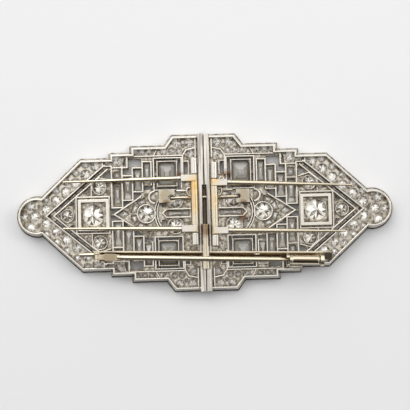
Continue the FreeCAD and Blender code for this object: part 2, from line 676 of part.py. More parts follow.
def back_bar():
    """Bar behind the pin, a little askew, with a narrow flat and one long falling face."""
    (x0, y0), (x1, y1) = RAIL_LEFT, RAIL_RIGHT
    profile = [
        (-RAIL_HALF, RAIL_LOW), (RAIL_HALF, RAIL_LOW), (RAIL_HALF, RAIL_HIGH),
        (RAIL_HALF - RAIL_FLAT, RAIL_HIGH), (-RAIL_HALF, RAIL_LOW + RAIL_EDGE),
    ]
    corners = [V(0, y, z) for y, z in profile]
    face = Part.Face(Part.makePolygon(corners + corners[:1]))
    bar = face.extrude(V(math.hypot(x1 - x0, y1 - y0), 0, 0))
    bar.rotate(V(0, 0, 0), V(0, 0, 1), math.degrees(math.atan2(y1 - y0, x1 - x0)))
    bar.translate(V(x0, y0, 0))
    return bar


def brooch_frame():
    """Cross rod, slot plate, half round spine and bar, soldered into one fitting."""
    reach = CROSS_REACH - CROSS_RADIUS
    rod = cylinder(CROSS_RADIUS, V(-reach, CROSS_Y, CROSS_Z), V(reach, CROSS_Y, CROSS_Z))
    ends = [Part.makeSphere(CROSS_RADIUS, V(x, CROSS_Y, CROSS_Z)) for x in (-reach, reach)]
    web = block(-WEB_HALF, WEB_HALF, WEB_START, WEB_END, WEB_LOW, WEB_HIGH)
    riser = block(-WEB_HALF, WEB_HALF, WEB_START, SPINE_TO - JOIN, WEB_LOW, SPINE_Z)
    ball = Part.makeSphere(BALL_RADIUS, V(0, WEB_END, WEB_HIGH))
    spine = cylinder(SPINE_RADIUS, V(0, SPINE_FROM, SPINE_Z), V(0, SPINE_TO, SPINE_Z))
    spine = spine.cut(block(-THROUGH, THROUGH, SPINE_FROM - 1, SPINE_TO + 1, SPINE_BASE - THROUGH, SPINE_BASE))
    loop_x, loop_y, ring_radius, wire = LOOP
    loop = Part.makeTorus(ring_radius, wire, V(loop_x, loop_y, RAIL_HIGH), V(0, 1, 0))
    under = RAIL_HIGH - LOOP_SINK
    loop = loop.cut(block(loop_x - 1, loop_x + 1, loop_y - 1, loop_y + 1, under - THROUGH, under))
    stop_from, stop_to, stop_y, stop_radius = STOP_BAR
    stop_z = (RAIL_LOW + RAIL_HIGH) / 2
    stop = cylinder(stop_radius, V(stop_from, stop_y, stop_z), V(stop_to, stop_y, stop_z))
    pieces = ends + [web, riser, ball, spine, back_bar(), loop, stop, catch()] + pin_lugs()
    return rod.fuse(pieces).removeSplitter()


def clip_parts(fork):
    """Every sub-part of one clip, drawn on the right."""
    parts = {
        "gallery": gallery(fork),
        "hinge_rod": hinge_rod(fork),
        "double_prong": double_prong(fork),
        "pave_stones": Part.makeCompound([round_stone(*row, FIELD_SIDES) for row in small_rounds()]),
        "baguette_stones": Part.makeCompound([flat_stone(row, STEP_PAVILION) for row in small_flats()]),
    }
    for name, x, y, radius in MAIN_ROUNDS:
        parts[name] = round_stone(x, y, radius, MAIN_SIDES)
    for name, outline in zip(("upper_step_stone", "lower_step_stone"), step_outlines()):
        parts[name] = flat_stone(outline, LARGE_STEP_PAVILION)
    return parts


def main():
    os.makedirs("parts", exist_ok=True)
    shapes = {
        "brooch_frame": brooch_frame(),
        "pin_rivet": pin_rivet(),
        "pin_stem": pin_stem(),
        "catch_sleeve": catch_sleeve(),
    }
    for name, shape in clip_parts(FORKS["right"]).items():
        shapes["right_" + name] = shape
    for name, shape in clip_parts(FORKS["left"]).items():
        shapes["left_" + name] = shape.mirror(V(0, 0, 0), V(1, 0, 0))
    for name, shape in shapes.items():
        shape.exportStep("parts/" + name + ".step")
        print(name, shape.isValid(), len(shape.Solids), len(shape.Faces), round(shape.Volume, 2))


main()
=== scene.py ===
"""Double clip brooch lying face down: its finishes, cut stones and fine metalwork."""

import json
import math
import random

import bpy
from bpy.props import FloatProperty, FloatVectorProperty, PointerProperty
from bpy.types import Operator, Panel, PropertyGroup
from mathutils import Matrix, Vector


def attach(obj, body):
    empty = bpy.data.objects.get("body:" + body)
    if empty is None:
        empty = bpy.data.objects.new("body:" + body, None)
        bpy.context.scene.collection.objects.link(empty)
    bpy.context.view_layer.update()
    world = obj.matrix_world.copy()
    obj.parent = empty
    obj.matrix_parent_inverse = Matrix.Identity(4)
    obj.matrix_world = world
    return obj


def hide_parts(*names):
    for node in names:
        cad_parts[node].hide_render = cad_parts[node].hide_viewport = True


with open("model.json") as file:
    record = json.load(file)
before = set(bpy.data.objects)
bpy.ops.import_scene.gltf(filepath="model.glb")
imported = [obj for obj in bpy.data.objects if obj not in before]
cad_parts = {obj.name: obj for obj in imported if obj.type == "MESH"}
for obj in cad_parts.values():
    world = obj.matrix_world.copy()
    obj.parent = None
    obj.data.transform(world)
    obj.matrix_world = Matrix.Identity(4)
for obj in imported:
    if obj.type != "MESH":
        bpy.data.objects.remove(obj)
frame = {"nodes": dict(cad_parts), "record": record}

bl_info = {
    "name": "Double Clip Brooch",
    "version": (1, 0, 0),
    "blender": (4, 5, 0),
    "location": "3D View > Sidebar > Brooch",
    "description": "Finishes, cut stones and fine metalwork of a pierced double clip brooch",
    "category": "Object",
}

MM = 0.001
GRID = 0.001 * MM               # corners closer than this are one
SIDES = ("left", "right")
ROUND_MAINS = (
    "centre_stone", "fan_stone", "end_stone", "upper_flank_stone", "lower_flank_stone",
    "upper_seam_stone", "lower_seam_stone",
)
STEP_MAINS = ("upper_step_stone", "lower_step_stone")

# Camera and stage
LENS = 100.0
SENSOR = 36.0
LOOK_AT = (0.07, 1.45, 1.0)     # mm
FLOOR_RADIUS = 3.0              # m
FLOOR_DROP = 0.02               # mm under the brooch

# Area lights: name, place in m, size in m, watts
LIGHTS = (
    ("key_light", (-0.2, 0.34, 0.5), 0.4, 1.1),
    ("side_light", (0.42, 0.16, 0.36), 0.2, 0.5),
)

# Bright panels of the surroundings: direction, degrees fully bright, degrees to its edge, brightness
SKY_PANELS = (
    ((-0.12, 0.64, 0.76), 25.0, 57.0, 1.05),
    ((0.9, 0.1, 0.5), 12.0, 28.0, 0.8),
    ((-0.9, 0.0, 0.45), 12.0, 30.0, 0.7),
)
SKY_DARK = 0.08                 # towards the viewer
SKY_RISE = 0.36                 # added away from the viewer
SKY_TURN = (-0.72, -0.08)       # upright part of the direction between the two

# Colours of worn, stained and gilded places, and of painted shade, painted highlight and painted dim
# reflection
BROWN = (0.16, 0.07, 0.025)
# colour of the keepers, darkened to stand for their dim painted reflection
CHAMPAGNE = (0.36, 0.295, 0.195)
RICH_GOLD = (0.78, 0.52, 0.22)
BURNT_GOLD = (0.22, 0.12, 0.05)
SOLDER_YELLOW = (0.5, 0.46, 0.16)
PIN_HEAD_SHADE = (0.3, 0.23, 0.14)
BAR_END_SHADE = (0.24, 0.19, 0.13)
SOCKET_WHITE = (0.68, 0.665, 0.64)
# painted highlight on the tops of the walls
TOP_HIGHLIGHT = (0.74, 0.695, 0.62)
# painted shadow in the slot along the seam
SLOT_SHADOW = (0.045, 0.028, 0.018)
# streaks on the rails: drawing marks and painted dark reflection
RAIL_STREAK_SHADE = (0.3, 0.28, 0.25)
# painted shade on the bar behind the pin, painted dark reflection along the catch and painted shade on the
# lower edge of the pin
BAR_SHADE = (0.2, 0.13, 0.075)
LINE_SHADE = (0.12, 0.085, 0.05)

# Round patches on the metal: middle in mm, radius in mm, colour, strength
PLATINUM_PATCHES = (
    ((4.5, 7.4, 1.2), 1.3, BROWN, 0.95),
    ((2.9, 5.3, 1.3), 1.2, BROWN, 0.8),
    ((7.2, -1.3, 1.0), 1.5, BROWN, 0.85),
    # the next row is a painted reflection of the upper prong on the left clip
    ((-23.8, 5.7, 1.2), 1.1, BROWN, 0.8),
    ((-4.6, 7.4, 1.2), 1.2, BROWN, 0.8),
    ((-6.9, 0.1, 1.0), 1.4, BROWN, 0.7),
    # the keepers: their colour darkened as a dim painted reflection, then painted shade on their lower edges
    ((-7.3, 3.3, 2.9), 2.6, CHAMPAGNE, 0.85),
    ((7.4, 3.1, 2.9), 2.4, CHAMPAGNE, 0.85),
    ((-7.4, 1.7, 2.9), 1.1, BROWN, 0.8),
    ((7.4, 1.4, 2.9), 1.1, BROWN, 0.8),
)
GOLD_PATCHES = (
    ((-3.0, 6.6, 4.4), 1.5, SOCKET_WHITE, 0.6),
    ((-4.2, 6.6, 4.4), 1.2, SOCKET_WHITE, 0.6),
    ((-3.0, -3.1, 4.4), 1.5, SOCKET_WHITE, 0.6),
    ((-4.2, -3.1, 4.4), 1.2, SOCKET_WHITE, 0.6),
    ((3.0, 5.6, 4.4), 1.5, SOCKET_WHITE, 0.6),
    ((4.2, 5.6, 4.4), 1.2, SOCKET_WHITE, 0.6),
    ((3.0, -3.6, 4.4), 1.5, SOCKET_WHITE, 0.6),
    ((4.2, -3.6, 4.4), 1.2, SOCKET_WHITE, 0.6),
    ((-1.9, 5.0, 3.9), 2.6, RICH_GOLD, 0.95),
    ((-1.9, 1.6, 3.9), 2.6, RICH_GOLD, 0.6),
    ((-1.9, -4.2, 3.9), 1.3, RICH_GOLD, 0.8),
    ((1.9, 6.4, 3.9), 1.8, RICH_GOLD, 0.8),
    ((1.5, 2.0, 3.6), 2.4, RICH_GOLD, 0.45),
    ((-2.8, 4.0, 2.7), 1.4, RICH_GOLD, 0.9),
    ((1.9, -4.3, 3.9), 1.3, RICH_GOLD, 0.7),
    ((0.0, -3.2, 3.9), 2.0, BURNT_GOLD, 0.85),
    ((17.2, -10.9, 2.8), 1.8, SOLDER_YELLOW, 1.0),
    # painted shade on the head of the pin and at the end of the bar
    ((-18.4, -8.2, 5.1), 2.6, PIN_HEAD_SHADE, 0.85),
    ((23.4, -8.9, 3.5), 1.5, BAR_END_SHADE, 0.85),
)

# Grain of the finishes, per metre
CLOUD_GRAIN = 420.0
FINE_GRAIN = 2600.0
SPECKLE_GRAIN = 1500.0
RAIL_STREAK_GRAIN = 3200.0
STONE_GRAIN = 800.0
FLOOR_GRAIN = 240.0

# Strengths in the metal's finish, and in the shade, highlight and reflection painted on it
UNEVEN = 0.88                   # share of the colour left in the darkest clouds
# dirt and painted shade in the corners
CORNER_DIRT_AND_SHADE_GAIN, CORNER_DIRT_AND_SHADE_FINE = 1.7, 0.5
DIRT_ROUGH, FINE_ROUGH = 0.3, 0.14
RIPPLE_FINE = 0.12
RIPPLE_DEPTH = 0.1              # mm
# dirt and painted shade low down between the walls
MOTTLE_START, MOTTLE_GAIN = 0.34, 4.0
PATCH_GAIN, PATCH_LIFT = 2.2, 0.25
# painted shadow in the slot, painted dark reflection along the catch, painted shade on the pin and on its
# bar
SLOT_STRENGTH = 0.95
LINE_STRENGTH, STEM_STRENGTH = 0.85, 0.8
BAR_CLOUD, BAR_STRENGTH = 0.5, 0.65
LOBE_GAIN = 12.0
CORNER_OPEN = (0.9, 1.0)        # openness between a narrow corner and a free wall
STREAK = (0.38, 0.62)

# Places where the metal's finish and its painted shade, highlight and reflection change. A pair holds the
# two ends of a soft edge, in mm
# the painted highlight on the tops of the walls rises between these heights
RAISED = (1.3, 1.75)            # heights of the bright tops of the walls
# where the dirt and painted shade low down lie
INNER_SLOPE = 0.35              # lines that stay inside the outer walls: X taken per Y
INNER_EDGE = (13.0, 13.6)
BAND_SLOPE = 0.66
BAND_EDGE = (22.6, 23.1)
BAND_SIDE = (10.4, 10.8)
LOBES = ((-32.5, 0.0, 0.95), (32.5, 0.0, 0.95))
LOBE_RADIUS = 3.6
# painted shadow in the slot along the seam
SLOT_SIDE = (0.4, 0.5)
SLOT_HEIGHT = (2.2, 2.5)
RAIL_SIDE = (1.5, 1.6)
RAIL_HEIGHT = (1.9, 2.1)
RAIL_STREAK_STRETCH = (1.0, 0.035, 0.3)       # the streaks of the rails run along them
# painted dark reflection along the catch and painted shade on the lower edge of the pin
PIN_LINE = (0.0384, 8.895)      # line of the pin: fall of Y per X, and how far below the middle it starts
PIN_HEIGHT = (4.75, 4.85)
BARREL_FROM, BARREL_TO = (16.5, 16.7), (21.1, 21.3)
STRIPE_FROM, STRIPE_TO = (-0.66, -0.52), (0.1, 0.24)
STEM_FROM, STEM_TO = (-17.0, -16.0), (15.4, 15.6)
STEM_EDGE = (-0.36, -0.24)
# painted shade on the bar behind the pin
BAR_LINE = (0.0269, 8.29)       # line of the bar behind the pin
BAR_FROM, BAR_TO = (-1.0, -0.9), (0.42, 0.56)
BAR_END = (20.5, 21.5)
BAR_FOOT, BAR_TOP = (2.95, 3.1), (3.62, 3.7)

# Stones: shares of the tint and of the shade, metallic part, glow (painted light: the stone gives off light
# that stands in for the light coming through from the pale surface below), roughness and index of refraction
STONE_LOOKS = {
    "cut_stone": {"tint": 1.04, "shade": 0.48, "metal": 0.2, "glow": 0.44, "rough": 0.1, "index": 1.8},
    "step_cut_stone": {"tint": 0.42, "shade": 1.1, "metal": 0.1, "glow": 0.05, "rough": 0.3, "index": 1.5},
    "baguette_stone": {"tint": 0.6, "shade": 1.15, "metal": 0.1, "glow": 0.12, "rough": 0.3, "index": 1.5},
}
FACET_SHARE, STONE_CLOUD = 0.75, 0.45
FACET_EDGE = (0.42, 0.92)       # between a dark and a bright facet
# fans of stones painted brighter, as painted sparkle
FANS = ((-14.1, 0.0, 0.9), (14.1, 0.0, 0.9))    # middles of the two bright fans, mm
FAN_RADIUS = 4.2
FAN_GAIN, FAN_STRENGTH = 3.0, 0.85
BEHIND_PIN = (-9.6, -8.0)       # Y where the stones lie in the shade of the pin's bar, mm
BEHIND_SHARE = 0.45
GIRDLE_REACH, GIRDLE_GAIN = 0.5, 1.1    # dark line where stone and metal meet: mm, strength

# Floor: the half nearer to the viewer is painted darker, as painted shade
FLOOR_NEAR = (-45.0, 45.0)      # mm
FLOOR_TURN = 0.12
# the nearer half is painted darker as painted shade
FLOOR_SHARES = (0.985, 0.93)    # darker grain, nearer half

# Cut of the stones
BRILLIANT_TABLE = 0.56
BRILLIANT_HEIGHT = 1.2
BRILLIANT_CIRCLES = (           # corners, radius, height, turned by degrees
    (8, 0.82, 0.17, 22.5), (16, 1.0, 0.30, 0.0), (16, 1.0, 0.36, 0.0), (8, 0.53, 0.80, 22.5),
    (8, 0.07, BRILLIANT_HEIGHT, 0.0),
)
STEP_HEIGHTS = (0.68, 0.8, 0.95, 1.15, 1.35)    # mm, where the backs of the flat stones are parted
STONE_TURN, FACET_TURN = 17.0, 45.0     # degrees from stone to stone, kept within one facet

# How facets sparkle: seed of the first node, darkest level, power of the chance in a field of small stones
# and in a main stone
ROUND_SPARKLE = (11, 0.05, 1.1, 2.0)
FLAT_SPARKLE = (41, 0.1, 1.0, 1.0)
LIP_GAP = 0.07                  # mm between a stone's girdle and the middle of its lip

# Bent wires: name, body, middle in mm, radius in mm, turned by degrees, stretch across, thickness in mm
WIRES = (
    ("left_latch_wire", "left_clip", (-2.75, 4.0, 2.75), 0.55, (0, 0, 25), 1.55, 0.16),
    ("right_latch_wire", "right_clip", (2.8, 3.9, 2.75), 0.5, (0, 0, -25), 1.5, 0.15),
    ("prong_ring", "right_prongs", (3.35, 6.35, 4.68), 0.42, (0, 0, 0), 0.75, 0.1),
    ("catch_inner_ring", "frame", (16.35, -9.52, 5.05), 0.83, (0, 90, -2.2), 1.0, 0.09),
    ("catch_outer_ring", "frame", (21.35, -9.72, 5.05), 0.83, (0, 90, -2.2), 1.0, 0.09),
)
SOLDER_BEAD = ((17.2, -10.9, 2.72), (1.3, 0.42, 0.25))    # under the catch: middle and half sizes, mm


class BroochSizes(PropertyGroup):
    """Sizes that a maker would change."""

    view_width: FloatProperty(
        name="Field of view", description="Width of the surface that the picture takes in",
        default=79.6 * MM, unit="LENGTH")
    view_tilt: FloatProperty(
        name="Camera tilt", description="Angle between the camera and the upright",
        default=math.radians(2.0), subtype="ANGLE")
    view_roll: FloatProperty(
        name="Turn on the surface", description="How far the brooch is turned in the picture",
        default=math.radians(1.5), subtype="ANGLE")
    plate_top: FloatProperty(
        name="Plate top", description="Height of the pierced plate over the surface",
        default=0.95 * MM, unit="LENGTH")
    lip: FloatProperty(
        name="Seat lip", description="Thickness of the turned-up lip round a seat",
        default=0.055 * MM, unit="LENGTH")


class BroochColours(PropertyGroup):
    """Colours of the finishes."""

    platinum: FloatVectorProperty(
        name="Platinum", description="Colour of the white metal", subtype="COLOR",
        default=(0.66, 0.61, 0.525), min=0, max=1)
    gold: FloatVectorProperty(
        name="Pale gold", description="Colour of the prongs, pin and frame", subtype="COLOR",
        default=(0.76, 0.67, 0.51), min=0, max=1)
    # dirt and painted shade in the corners, also low down on the gold
    dirt_and_shade: FloatVectorProperty(
        name="Grime", description="Colour of the dirt left in the corners", subtype="COLOR",
        default=(0.10, 0.075, 0.045), min=0, max=1)
    # dirt and painted shade low down between the stones
    low_dirt_and_shade: FloatVectorProperty(
        name="Dulled metal", description="Colour of the metal low down between the stones", subtype="COLOR",
        default=(0.125, 0.1, 0.065), min=0, max=1)
    crevice: FloatVectorProperty(
        name="Stone shade", description="Colour of the dark facets of the stones", subtype="COLOR",
        default=(0.20, 0.163, 0.11), min=0, max=1)
    stone: FloatVectorProperty(
        name="Stone", description="Tint of the cut stones", subtype="COLOR",
        default=(0.95, 0.93, 0.88), min=0, max=1)
    floor: FloatVectorProperty(
        name="Floor", description="Colour of the surface under the brooch", subtype="COLOR",
        default=(0.79, 0.79, 0.794), min=0, max=1)


def metres(place):
    """A place given in millimetres, in metres."""
    return [value * MM for value in place]


class Value:
    """Output socket of a node that Python arithmetic can be done with."""

    def __init__(self, finish, socket):
        self.finish = finish
        self.socket = socket

    def math(self, operation, *others):
        inputs = dict(enumerate((self,) + others))
        return self.finish.node("ShaderNodeMath", {"operation": operation}, inputs)

    def __add__(self, other):
        return self.math("ADD", other)

    def __sub__(self, other):
        return self.math("SUBTRACT", other)

    def __rsub__(self, other):
        return self.finish.node("ShaderNodeMath", {"operation": "SUBTRACT"}, {0: other, 1: self})

    def __mul__(self, other):
        return self.math("MULTIPLY", other)

    def __truediv__(self, other):
        return self.math("DIVIDE", other)

    def clamped(self):
        settings = {"operation": "ADD", "use_clamp": True}
        return self.finish.node("ShaderNodeMath", settings, {0: self, 1: 0.0})


class Finish:
    """One material or the surroundings, built node by node.

    The shares, edges and places used in the finishes are named above. They were matched to the photo.
    """

    def __init__(self, owner):
        self.owner = owner
        owner.use_nodes = True
        self.tree = owner.node_tree
        self.tree.nodes.clear()

    def node(self, kind, settings=None, inputs=None, output=0):
        """Make a node, set it up, then fill its sockets by name or number with numbers or links."""
        made = self.tree.nodes.new(kind)
        for name, value in (settings or {}).items():
            setattr(made, name, value)
        for name, value in (inputs or {}).items():
            if isinstance(value, Value):
                self.tree.links.new(value.socket, made.inputs[name])
            else:
                made.inputs[name].default_value = value
        return None if output is None else Value(self, made.outputs[output])

    def place(self):
        """Object coordinates, in metres."""
        return self.node("ShaderNodeTexCoord", output="Object")

    def noise(self, where, scale, detail=3.0, roughness=0.55):
        return self.node("ShaderNodeTexNoise", inputs={
            "Vector": where, "Scale": scale, "Detail": detail, "Roughness": roughness})

    def mix(self, share, first, second):
        """Blend two colours."""
        return self.node(
            "ShaderNodeMix", {"data_type": "RGBA"}, {0: share, 6: first, 7: second}, output=2)

    def step(self, value, low, high):
        """Smooth step: 0 below low, 1 above high."""
        return self.node(
            "ShaderNodeMapRange", {"interpolation_type": "SMOOTHSTEP"},
            {"Value": value, "From Min": low, "From Max": high})

    def rise(self, value, edge):
        """Smooth step up over an edge given in millimetres."""
        return self.step(value, edge[0] * MM, edge[1] * MM)

    def fall(self, value, edge):
        """Smooth step down over an edge given in millimetres."""
        return 1.0 - self.rise(value, edge)

    def between(self, value, first, last):
        """1 between two edges given in millimetres, 0 before and after them."""
        return self.rise(value, first) * self.fall(value, last)

    def openness(self, reach):
        """How open a place is within a reach in millimetres: 1 in the open, less in corners."""
        return self.node(
            "ShaderNodeAmbientOcclusion", {"samples": 8}, {"Distance": reach * MM}, output="AO")

    def part(self, where, axis):
        """One coordinate of a place."""
        return self.node("ShaderNodeSeparateXYZ", inputs={0: where}, output=axis)

    def patch(self, where, centre, radius):
        """Soft round patch about a place in millimetres: 1 in its middle, 0 outside."""
        distance = self.node(
            "ShaderNodeVectorMath", {"operation": "DISTANCE"},
            {0: where, 1: metres(centre)}, output="Value")
        return (1.0 - distance / (radius * MM)).clamped()

    def principled(self, colour, **values):
        inputs = {"Base Color": colour}
        inputs.update({name.replace("_", " "): value for name, value in values.items()})
        return self.node("ShaderNodeBsdfPrincipled", inputs=inputs)

    def close(self, surface, kind="Material"):
        self.node("ShaderNodeOutput" + kind, inputs={"Surface": surface}, output=None)
        return self.owner


def rgba(colour):
    """A colour as the sockets take it."""
    return (*colour, 1.0)


def new_material(name):
    return Finish(bpy.data.materials.new(name))


def scaled(colour, share):
    """A colour made darker or brighter by a share."""
    return [value * share for value in colour]


def beside_line(finish, where, line):
    """Distance above a line that falls a little towards the catch, in metres."""
    fall, start = line
    return finish.part(where, "Y") + finish.part(where, "X") * fall + start * MM


def inside_walls(finish, where, openness):
    """1 on the plate within the outer walls and in narrow corners, 0 on the outside."""
    away = finish.part(where, "X").math("ABSOLUTE")
    aside = finish.part(where, "Y").math("ABSOLUTE")
    inner = finish.fall(aside + away * INNER_SLOPE, INNER_EDGE)
    band = finish.fall(aside + away * BAND_SLOPE, BAND_EDGE) * finish.fall(aside, BAND_SIDE)
    left, right = [finish.patch(where, lobe, LOBE_RADIUS) for lobe in LOBES]
    lobes = ((left + right) * LOBE_GAIN).clamped()
    corners = 1.0 - finish.step(openness, *CORNER_OPEN)
    return inner.math("MAXIMUM", band).math("MAXIMUM", lobes).math("MAXIMUM", corners)


def seam_shade(finish, where, height, shade, drawn):
    """Paint a shadow into the slot along the seam, and streaks along its rails that are drawing marks and
    painted dark reflection.
    """
    off = finish.part(where, "X").math("ABSOLUTE")
    # painted shadow in the slot
    sunk = finish.fall(off, SLOT_SIDE) * finish.fall(height, SLOT_HEIGHT)
    shade = finish.mix(sunk * SLOT_STRENGTH, shade, rgba(SLOT_SHADOW))
    # streaks on the rails: drawing marks and painted dark reflection
    stretched = finish.node(
        "ShaderNodeVectorMath", {"operation": "MULTIPLY"}, {0: where, 1: RAIL_STREAK_STRETCH})
    streak = finish.step(finish.noise(stretched, RAIL_STREAK_GRAIN), *STREAK)
    rail = finish.fall(off, RAIL_SIDE) * finish.rise(height, RAIL_HEIGHT)
    return finish.mix(rail * streak * drawn, shade, rgba(RAIL_STREAK_SHADE))


def pin_shade(finish, where, height, cloud, shade):
    """Painted dark reflection along the catch, painted shade on the lower edge of the pin and on the bar
    behind it.
    """
    along = finish.part(where, "X")
    beside = beside_line(finish, where, PIN_LINE)
    stripe = finish.between(beside, STRIPE_FROM, STRIPE_TO) * finish.between(along, BARREL_FROM, BARREL_TO)
    edge = finish.fall(beside, STEM_EDGE) * finish.between(along, STEM_FROM, STEM_TO) * STEM_STRENGTH
    line = ((stripe + edge) * finish.rise(height, PIN_HEIGHT)).clamped()
    shade = finish.mix(line * LINE_STRENGTH, shade, rgba(LINE_SHADE))
    across = beside_line(finish, where, BAR_LINE)
    bar = finish.between(across, BAR_FROM, BAR_TO) * finish.fall(along, BAR_END)
    bar = bar * finish.between(height, BAR_FOOT, BAR_TOP)
    return finish.mix(bar * (cloud * BAR_CLOUD + BAR_STRENGTH).clamped(), shade, rgba(BAR_SHADE))


def polished_metal(name, look, patches=()):
    """Polished metal with fine wear and softened edges, a painted highlight on the tops of its walls, darker
    low down and in its corners with dirt and painted shade.
    """
    finish = new_material(name)
    where = finish.place()
    height = finish.part(where, "Z")
    cloud = finish.noise(where, CLOUD_GRAIN)
    fine = finish.noise(where, FINE_GRAIN, detail=2.0)
    speckle = finish.noise(where, SPECKLE_GRAIN)
    openness = finish.openness(look["reach"])
    shade = finish.mix(cloud, rgba(scaled(look["colour"], UNEVEN)), rgba(look["colour"]))
    # painted highlight on the tops of the walls
    shade = finish.mix(finish.rise(height, RAISED) * look["raised"], shade, rgba(TOP_HIGHLIGHT))
    # dirt and painted shade low down between the walls
    depth = finish.fall(height, look["low_dirt_and_shade_height"]) * inside_walls(finish, where, openness)
    mottle = (depth * ((speckle - MOTTLE_START) * MOTTLE_GAIN)).clamped() * look["low_dirt_and_shade_share"]
    shade = finish.mix(mottle, shade, rgba(look["low_dirt_and_shade"]))
    # brown patches, gold, painted shade and dim painted reflections
    for centre, radius, stain, strength in patches:
        blot = finish.patch(where, centre, radius) * PATCH_GAIN * (cloud + PATCH_LIFT)
        shade = finish.mix(blot.clamped() * strength, shade, rgba(stain))
    if look["drawn"]:
        shade = seam_shade(finish, where, height, shade, look["drawn"])
    if look["pin"]:
        shade = pin_shade(finish, where, height, cloud, shade)
    # dirt and painted shade in the corners
    corner_dirt_and_shade = ((1.0 - openness) * CORNER_DIRT_AND_SHADE_GAIN * (cloud + fine * CORNER_DIRT_AND_SHADE_FINE)).clamped() * look["corner_dirt_and_shade_share"]
    shade = finish.mix(corner_dirt_and_shade, shade, rgba(look["dirt_and_shade"]))
    roughness = fine * FINE_ROUGH + look["rough"] + corner_dirt_and_shade * DIRT_ROUGH
    edges = finish.node("ShaderNodeBevel", {"samples": 6}, {"Radius": look["soften"] * MM})
    ripple = finish.node("ShaderNodeBump", inputs={
        "Height": cloud + fine * RIPPLE_FINE, "Strength": look["ripple"],
        "Distance": RIPPLE_DEPTH * MM, "Normal": edges})
    return finish.close(finish.principled(shade, Metallic=1.0, Roughness=roughness, Normal=ripple))


def clear_stone(name, colours):
    """Cut stone seen from its point: facets painted bright and dark as painted sparkle, painted shade behind
    the pin's bar, a painted glow and a clear gleam.
    """
    look = STONE_LOOKS[name]
    crevice = rgba(scaled(colours.crevice, look["shade"]))
    finish = new_material(name)
    where = finish.place()
    cloud = finish.noise(where, STONE_GRAIN, detail=2.0)
    spark = finish.noise(where, FINE_GRAIN, detail=2.0)
    facet = finish.node("ShaderNodeVertexColor", {"layer_name": "sparkle"}, output="Color")
    level = finish.step(facet * FACET_SHARE + (cloud + spark) * STONE_CLOUD, *FACET_EDGE)
    # painted shade on the stones behind the pin's bar
    level = level * (1.0 - finish.fall(finish.part(where, "Y"), BEHIND_PIN) * BEHIND_SHARE)
    # fans of stones painted brighter, as painted sparkle
    left, right = [finish.patch(where, fan, FAN_RADIUS) for fan in FANS]
    fan = ((left + right) * FAN_GAIN).clamped() * FAN_STRENGTH
    lit = finish.mix(fan, rgba(scaled(colours.stone, look["tint"])), rgba(colours.stone))
    shade = finish.mix(level, crevice, lit)
    girdle = ((1.0 - finish.openness(GIRDLE_REACH)) * GIRDLE_GAIN * cloud).clamped()
    shade = finish.mix(girdle, shade, crevice)
    # the emission is painted light: a glow that stands in for light coming through from below
    return finish.close(finish.principled(
        shade, Metallic=look["metal"], Roughness=look["rough"], IOR=look["index"],
        Emission_Color=shade, Emission_Strength=look["glow"]))


def floor_finish(name, colour):
    """Pale matt surface with painted shade: a little brighter away from the viewer."""
    speck, front = FLOOR_SHARES
    finish = new_material(name)
    where = finish.place()
    grain = finish.noise(where, FLOOR_GRAIN, detail=4.0)
    # painted shade on the nearer half
    near = finish.fall(finish.part(where, "Y") - finish.part(where, "X") * FLOOR_TURN, FLOOR_NEAR)
    shade = finish.mix(grain, rgba(scaled(colour, speck)), rgba(colour))
    shade = finish.mix(near, shade, rgba(scaled(colour, front)))
    return finish.close(finish.principled(shade, Roughness=0.75, Specular_IOR_Level=0.2))


def deselect():
    if bpy.context.object and bpy.context.object.mode != "OBJECT":
        bpy.ops.object.mode_set(mode="OBJECT")
    bpy.ops.object.select_all(action="DESELECT")


def paint(piece, material):
    """Give a piece one material in its first slot."""
    piece.data.materials.clear()
    piece.data.materials.append(material)


def loose_parts(node):
    """Corner points of every separate solid of a CAD node."""
    mesh = frame["nodes"][node].data
    corners = [tuple(round(value / GRID) for value in vertex.co) for vertex in mesh.vertices]
    places = {}
    for corner in corners:
        places.setdefault(corner, len(places))
    index = [places[corner] for corner in corners]
    leader = list(range(len(places)))

    def find(item):
        while leader[item] != item:
            leader[item] = leader[leader[item]]
            item = leader[item]
        return item

    for polygon in mesh.polygons:
        first = find(index[polygon.vertices[0]])
        for corner in polygon.vertices:
            leader[find(index[corner])] = first
    groups = {}
    for place, item in places.items():
        groups.setdefault(find(item), []).append(Vector(place) * GRID)
    return list(groups.values())


def round_seat(points):
    """Middle, girdle radius, lowest and highest point of a round stone."""
    count = len(points)
    middle = sum(points, Vector()) / count
    low = min(point.z for point in points)
    high = max(point.z for point in points)
    radius = max(math.hypot(point.x - middle.x, point.y - middle.y) for point in points)
    return middle, radius, low, high


def copy_of(model, name):
    """Copy of a modelled piece with its own mesh, in the scene."""
    piece = model.copy()
    piece.data = model.data.copy()
    piece.name = name
    bpy.context.collection.objects.link(piece)
    return piece


def apply_place(piece):
    """Put an object's place into its mesh."""
    piece.data.transform(piece.matrix_basis)
    piece.matrix_basis = Matrix()


def joined(pieces, name):
    """Join pieces into one object at the origin."""
    deselect()
    for piece in pieces:
        apply_place(piece)
        piece.select_set(True)
    bpy.context.view_layer.objects.active = pieces[0]
    bpy.ops.object.join()
    whole = bpy.context.object
    whole.name = name
    return whole


def remove(piece):
    bpy.data.objects.remove(piece)


def glitter(piece, number, seed, low, field_power, main_power):
    """Give every facet its own brightness, kept as a colour on the mesh. Number 0 is a field of stones."""
    chance = random.Random(seed + number)
    power = main_power if number else field_power
    layer = piece.data.color_attributes.new(name="sparkle", type="BYTE_COLOR", domain="CORNER")
    for polygon in piece.data.polygons:
        level = low + (1.0 - low) * chance.random() ** power
        for corner in polygon.loop_indices:
            layer.data[corner].color = (level, level, level, 1.0)


def hand_over(piece, body, slot, material, *nodes):
    """Finish a new piece: its material, the body it rides on and the nodes it stands for."""
    paint(piece, material)
    if nodes:
        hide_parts(*nodes)
    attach(piece, body)


